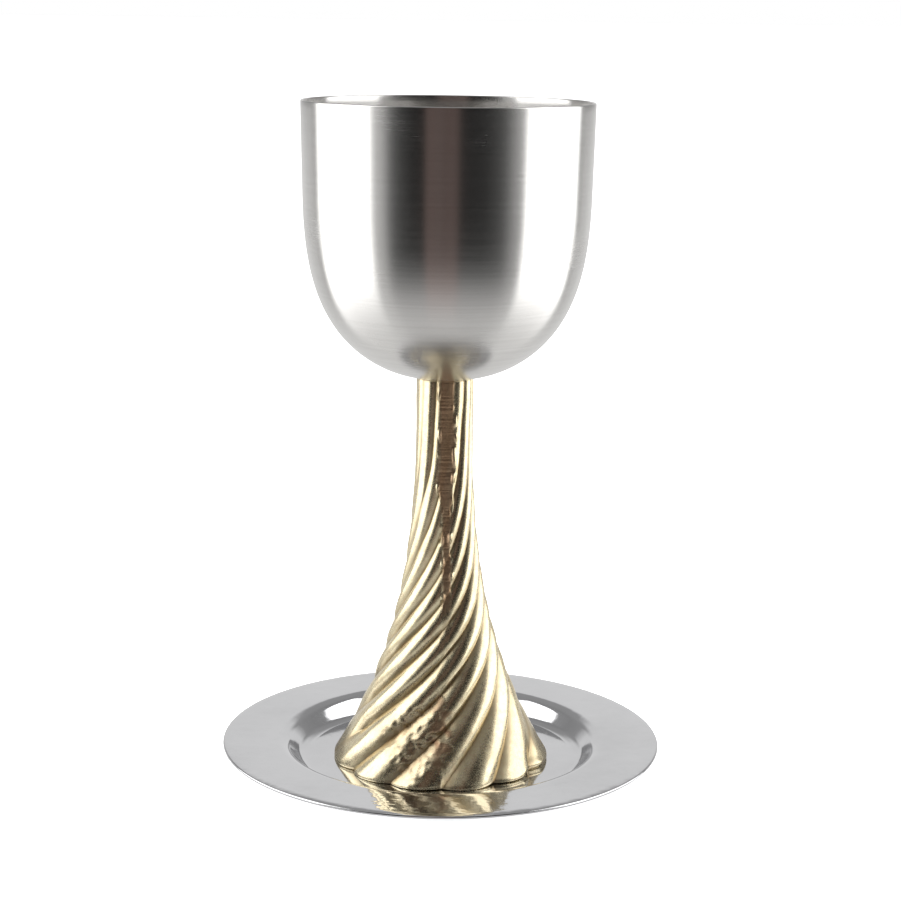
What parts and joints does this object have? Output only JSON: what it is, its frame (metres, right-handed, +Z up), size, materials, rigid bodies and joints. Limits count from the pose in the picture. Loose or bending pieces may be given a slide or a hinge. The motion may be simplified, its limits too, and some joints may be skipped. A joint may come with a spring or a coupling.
{
  "type": "communion chalice with paten",
  "caption": "Stemmed cup with a satin steel bowl on a hollow brass stem and bell foot with twisted ribs, standing in the well of a round flat-rimmed steel dish.",
  "frame": {"origin": "centre of the paten's underside, on the surface it stands on", "axes": "+Z up along the axis of the chalice and the paten; -Y is the side seen from the front"},
  "size_m": [0.14, 0.14, 0.21],
  "materials": {
    "polished_steel": "mirror polished stainless steel",
    "cast_brass": "sand-cast pale brass, rib crests polished, grooves darker",
    "satin_steel": "satin brushed round the axis",
    "plain_steel": "plain zinc-bright steel"
  },
  "bodies": {
    "paten": {"paten": "polished_steel"},
    "chalice": {"stem": "cast_brass", "cup": "satin_steel", "cup_boss": "plain_steel", "stud": "plain_steel", "washer": "plain_steel", "lock_washer": "plain_steel", "nut": "plain_steel"}
  },
  "joints": [
    {"name": "chalice_lift", "type": "slide", "parent": "paten", "child": "chalice", "axis": [0, 0, 1], "range_m": [0, 0.08]}
  ]
}
